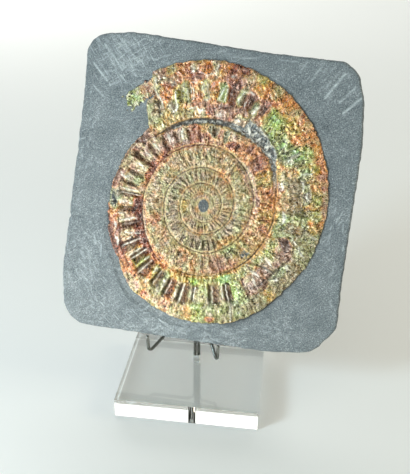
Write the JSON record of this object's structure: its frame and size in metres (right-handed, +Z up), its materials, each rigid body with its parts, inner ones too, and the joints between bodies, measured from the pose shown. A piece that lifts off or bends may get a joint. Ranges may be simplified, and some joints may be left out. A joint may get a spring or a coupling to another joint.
{
  "type": "ammonite fossil",
  "caption": "Iridescent ribbed ammonite in a thin rounded shale slab, leaning back on a clear block stand with bent wires.",
  "frame": {"origin": "centre of the block's underside", "axes": "+Z up; -Y towards the side the fossil faces; +X to the viewer's right, along the slab's lower edge"},
  "size_m": [0.1521, 0.091, 0.1829],
  "materials": {
    "shale": "matte, finely bedded shale with pale tool scratches",
    "nacre": "iridescent shell, satin to glossy, green, red and gold",
    "clear_acrylic": "clear, polished, faintly green at the edges",
    "wire_steel": "bright drawn wire"
  },
  "bodies": {
    "root": {"shale_slab": "shale", "ammonite": "nacre", "base_block": "clear_acrylic", "hook_wire_left": "wire_steel", "hook_wire_right": "wire_steel", "back_rest_wire": "wire_steel"}
  },
  "joints": []
}
